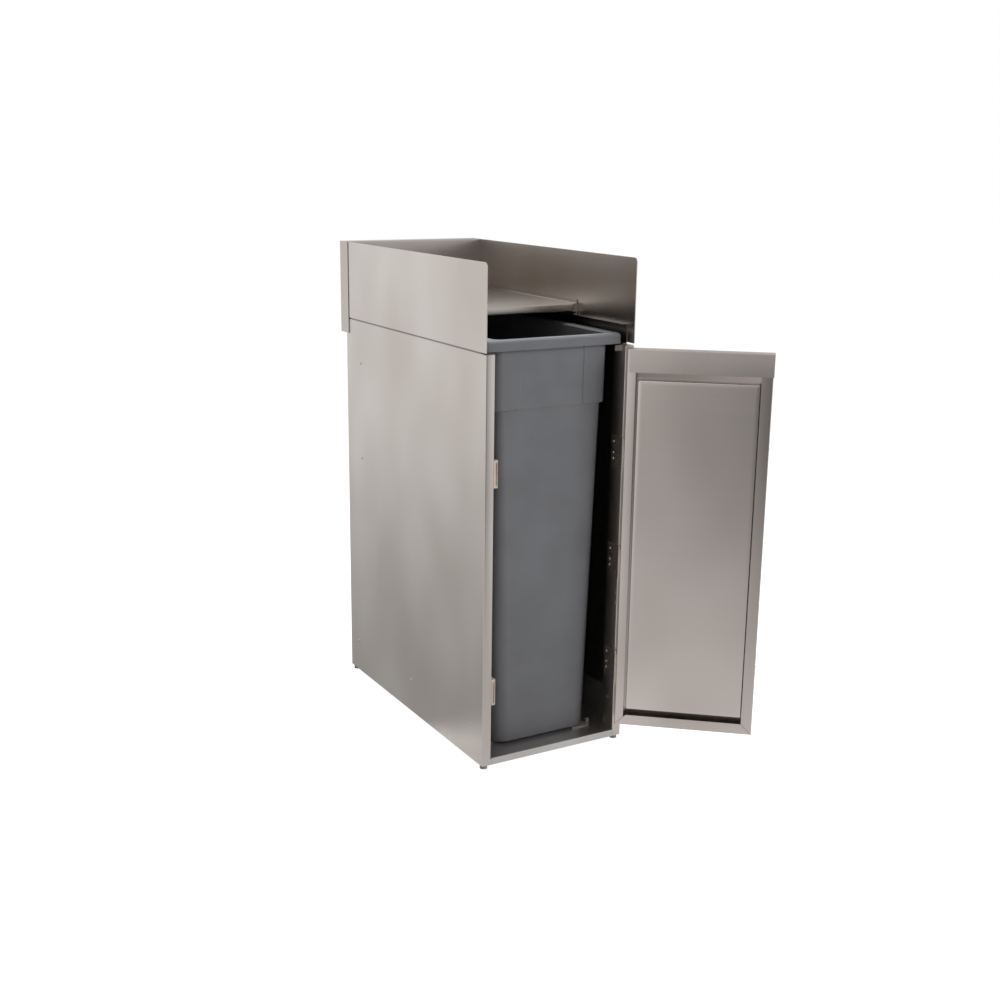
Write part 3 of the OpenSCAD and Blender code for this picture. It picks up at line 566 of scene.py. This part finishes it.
def binBody():
    # one rounded ring for each row of half width, set-back from the rim's front, corner and height;
    # also tells how many rings the outside has, up to the rim
    b = binForm
    wall, ease, hollow = b["wall"], b["rimEase"], b["underEase"]
    corner, baseCorner, rimCorner = b["corner"], b["baseCorner"], b["rimCorner"]
    low, collarLow, rimTop = b["low"], b["collarLow"], b["top"]
    rimLow, under = rimTop - b["rimHeight"], rimTop - wall

    def ring(form, setIn, radius, height):
        half, back = b[form]
        return half - setIn, back + setIn, radius, height

    outside = [ring("base", setIn, baseCorner - setIn, low + up) for setIn, up in b["step"]]
    up, down, count = b["wallRings"]
    first, last = ring("base", 0, baseCorner, low + up), ring("body", 0, corner, collarLow - down)
    outside += between(first, last, np.linspace(b["wallFrom"], 1, count))
    outside += [ring(form, setIn, corner, collarLow + up) for form, setIn, up in b["ledge"]]
    up, down, count = b["collarRings"]
    first, last = ring("collarFoot", 0, corner, collarLow + up), ring("collar", 0, corner, under - down)
    outside += between(first, last, np.linspace(0, 1, count))
    rim = [
        ring("collar", -hollow, corner, under),
        ring("rim", wall + hollow, rimCorner - wall, under),
        ring("rim", wall, rimCorner - wall, under - hollow),
        ring("rim", wall, rimCorner - wall, rimLow + ease),
        ring("rim", wall - ease, rimCorner - wall, rimLow),
        ring("rim", ease, rimCorner, rimLow),
        ring("rim", 0, rimCorner, rimLow + ease),
    ]
    radius, setIn, count = b["shoulder"]
    for turn in np.linspace(0, np.pi / 2, count):
        inset = setIn + radius * (1 - math.cos(turn))
        drop = radius * (1 - math.sin(turn))
        rim.append(ring("rim", inset, max(rimCorner - inset, b["leastCorner"]), rimTop - drop))
    edge = b["mouthEdge"]
    collarUp, bodyUp = b["insideRings"]
    inside = [
        ring("collar", wall - edge, corner, rimTop),
        ring("collar", wall - ease, corner, rimTop - ease),
        ring("collar", wall, corner, rimTop - edge),
        ring("collarFoot", wall, corner - wall, collarLow + collarUp),
        ring("body", wall, corner - wall, collarLow + bodyUp),
    ]
    floorCorner = baseCorner - wall
    inside += [ring("base", wall + setIn, floorCorner - setIn, low + up) for setIn, up in b["bottom"]]
    halfWidth, back, radius, height = np.array(outside + rim + inside, float).T
    rings = roundedRings(halfWidth, b["length"] / 2 - back, radius, height, around=16)
    return rings, len(outside)


def spacedAround(rings, step=1.6):
    # adds points on the straight sides, so that a shallow form can be pressed into them
    nextRing = np.roll(rings, -1, axis=1)
    length = np.linalg.norm(nextRing - rings, axis=2).max(0)
    counts = np.maximum(np.ceil(length / step).astype(int), 1)
    which = np.repeat(np.arange(rings.shape[1]), counts)
    share = np.concatenate([np.arange(c) / c for c in counts])[:, None]
    return rings[:, which] * (1 - share) + nextRing[:, which] * share


def smoothStep(value, low, high):
    # 0 below low, 1 above high, and 3 s^2 - 2 s^3 between them
    s = np.clip((value - low) / (high - low), 0, 1)
    return s * s * (3 - 2 * s)


def binRings():
    # the body's rings; the front of the outer ones is moved back where the panel is pressed in
    b = binForm
    rings, outerCount = binBody()
    rings = spacedAround(rings)
    halfWidth, depth = b["pressed"]
    edge, foot = b["pressedEdge"], b["pressedFoot"]
    x, y, z = rings[..., 0], rings[..., 1], rings[..., 2]
    outer = np.arange(len(rings))[:, None] < outerCount
    front = (y < y.min(1)[:, None] + b["frontDepth"]) & outer
    pressed = depth * (1 - smoothStep(np.abs(x), halfWidth - edge, halfWidth + edge))
    pressed *= smoothStep(z, b["collarLow"] + foot[0], b["collarLow"] + foot[1])
    rings[..., 1] = np.where(front, y + pressed, y) + b["midY"]
    return rings


makePiece("bin", [loftShell(binRings())], "bin", "bin", ["bin", "bin_rim"], sharp=40)
print("bin built")

# Finishes of the pieces kept from the frame
keptFinish = {
    "rail": ["rail_left", "rail_right"],
    "panel": ["splash_left", "splash_right", "shelf_leg_left", "shelf_leg_right"],
    "across": ["back_panel", "hinge_backing_plate"],
    "floor": ["floor_pan"],
    "upright": ["splash_end_left", "splash_end_right", "bin_stop_left", "bin_stop_right"],
    "slide": ["runner_left", "runner_right"],
    "catch": ["catch_low_body", "catch_high_body"],
    "magnet": ["catch_magnets"],
    "rivet": ["side_rivets_left", "side_rivets_right", "back_rivets", "jamb_rivets", "door_edge_rivets",
              "guide_studs"],
}
finishOf = {node: finish for finish, members in keptFinish.items() for node in members}
for node, piece in nodes.items():
    known = finishOf.get(node, "glide" if node.startswith("glide_pad") else "plated")
    for place in piece.material_slots:
        place.material = finishes[known]
print("kept nodes finished")

# Stage: pale floor, white all round, soft lamps
stage = {
    "floorHalf": 9.0,
    "worldStrength": 0.20,
    "lamps": [  # place, aim, width, watts, tint
        ((0.9, -3.3, 2.2), (0, -0.1, 0.5), 1.8, 28, "#FFFBF5"),
        ((1.8, -2.4, 2.2), (0.1, -0.1, 0.5), 1.4, 40, "#F5F8FF"),
        ((0.8, 0.3, 2.9), (0, -0.2, 0.7), 1.1, 125, "#FFFFFF"),
    ],
    # What the metal shows of the room: a level, and areas that are lighter or darker than it. An area
    # is a compass direction, the angles off it where it starts and where it is full, and its gain
    "sky": (0.66, [(145, 92, 66, 0.34), (310, 50, 15, 0.32), (262, 42, 20, -0.40)]),
    # farFloor and nearFloor are the floor's glow that metal shows: painted pools of light, and near the
    # object a mostly darker level that is a painted shadow of the object
    "farFloor": (0.52, [(150, 90, 65, 0.40), (310, 30, 10, 0.42), (262, 37, 20, -0.45)]),
    "nearFloor": (0.46, [(260, 65, 25, 0.50), (262, 42, 28, -0.17)]),
    "paintedShadowReach": (0.3, 3.2),  # distances between which the near floor, with its painted shadow of the object, gives way to the far one
    "mattFloor": "#F2F2F2",
    "seenFloor": ("#7B7B7B", 0.98),  # the floor that the camera sees: its colour, and the white added
}
whiteLight = (1, 1, 1, 1)


def surround(tree, direction, level, areas):
    # strength of the room towards a direction: the level, with each area's gain added
    total = None
    for compass, start, full, gain in areas:
        a, start, full = (math.radians(angle) for angle in (compass, start, full))
        facing = addNode(tree, "ShaderNodeVectorMath", {1: (math.cos(a), math.sin(a), 0)}, {0: direction},
                         operation="DOT_PRODUCT").outputs["Value"]
        setting = {"From Min": math.cos(start), "From Max": math.cos(full), "To Min": 0.0, "To Max": gain}
        area = addNode(tree, "ShaderNodeMapRange", setting, {"Value": facing},
                       interpolation_type="SMOOTHSTEP").outputs[0]
        last = {} if total is None else {1: total}
        total = addNode(tree, "ShaderNodeMath", {1: level}, {0: area, **last}, operation="ADD").outputs[0]
    return total


def mirrorRay(tree, path):
    # 1 for what metal or glass shows
    either = {0: path.outputs["Is Glossy Ray"], 1: path.outputs["Is Transmission Ray"]}
    return addNode(tree, "ShaderNodeMath", links=either, operation="MAXIMUM").outputs[0]


def whiteFloor():
    material = bpy.data.materials.new("paleStudioFloor")
    material.use_nodes = True
    tree = material.node_tree
    tree.nodes.clear()
    path = addNode(tree, "ShaderNodeLightPath")
    place = addNode(tree, "ShaderNodeTexCoord").outputs["Object"]
    towards = addNode(tree, "ShaderNodeVectorMath", links={0: place}, operation="NORMALIZE").outputs[0]
    away = addNode(tree, "ShaderNodeVectorMath", links={0: place}, operation="LENGTH").outputs["Value"]
    share = spread(tree, away, *stage["paintedShadowReach"])
    near, far = (surround(tree, towards, *stage[part]) for part in ("nearFloor", "farFloor"))
    paintedFloorGlow = addNode(tree, "ShaderNodeMix", links={0: share, 2: near, 3: far}, data_type="FLOAT").outputs[0]
    matt = addNode(tree, "ShaderNodeBsdfDiffuse", {"Color": linear(stage["mattFloor"])})
    grey, added = stage["seenFloor"]
    faint = addNode(tree, "ShaderNodeBsdfDiffuse", {"Color": linear(grey)})
    lit = addNode(tree, "ShaderNodeEmission", {"Color": whiteLight, "Strength": added})
    seen = addNode(tree, "ShaderNodeAddShader", links={0: faint.outputs[0], 1: lit.outputs[0]})
    # metal sees the floor as this glow: painted pools of light, with painted shade of the object's shadow
    # near it
    paintedFloorReflection = addNode(tree, "ShaderNodeEmission", {"Color": whiteLight}, {"Strength": paintedFloorGlow})
    cameraMix = addNode(tree, "ShaderNodeMixShader", links={
        0: path.outputs["Is Camera Ray"], 1: matt.outputs[0], 2: seen.outputs[0]})
    both = addNode(tree, "ShaderNodeMixShader", links={
        0: mirrorRay(tree, path), 1: cameraMix.outputs[0], 2: paintedFloorReflection.outputs[0]})
    addNode(tree, "ShaderNodeOutputMaterial", links={"Surface": both.outputs[0]})
    return material


def makeStage():
    half = stage["floorHalf"]
    mesh = bpy.data.meshes.new("floor")
    square = [(-half, -half, 0), (half, -half, 0), (half, half, 0), (-half, half, 0)]
    mesh.from_pydata(square, [], [(0, 1, 2, 3)])
    mesh.materials.append(whiteFloor())
    floor = bpy.data.objects.new("floor", mesh)
    bpy.context.scene.collection.objects.link(floor)
    world = bpy.data.worlds.new("studio")
    world.use_nodes = True
    tree = world.node_tree
    tree.nodes.clear()
    path = addNode(tree, "ShaderNodeLightPath")
    direction = addNode(tree, "ShaderNodeTexCoord").outputs["Generated"]
    lighting = {"Color": whiteLight, "Strength": stage["worldStrength"]}
    around = addNode(tree, "ShaderNodeBackground", lighting)
    mirroredRoom = addNode(tree, "ShaderNodeBackground", {"Color": whiteLight},
                           {"Strength": surround(tree, direction, *stage["sky"])})
    white = addNode(tree, "ShaderNodeBackground", {"Color": whiteLight, "Strength": 1.0})
    indirect = addNode(tree, "ShaderNodeMixShader", links={
        0: mirrorRay(tree, path), 1: around.outputs[0], 2: mirroredRoom.outputs[0]})
    mix = addNode(tree, "ShaderNodeMixShader", links={
        0: path.outputs["Is Camera Ray"], 1: indirect.outputs[0], 2: white.outputs[0]})
    addNode(tree, "ShaderNodeOutputWorld", links={"Surface": mix.outputs[0]})
    bpy.context.scene.world = world
    for number, (place, aim, width, watts, tint) in enumerate(stage["lamps"]):
        data = bpy.data.lights.new(f"softbox{number}", "AREA")
        data.size, data.energy, data.color = width, watts, linear(tint)[:3]
        lamp = bpy.data.objects.new(f"softbox{number}", data)
        lamp.location = place
        lamp.visible_glossy = False
        lamp.rotation_mode = "QUATERNION"
        lamp.rotation_quaternion = (Vector(aim) - Vector(place)).to_track_quat("-Z", "Y")
        bpy.context.scene.collection.objects.link(lamp)


makeStage()
print("stage set")
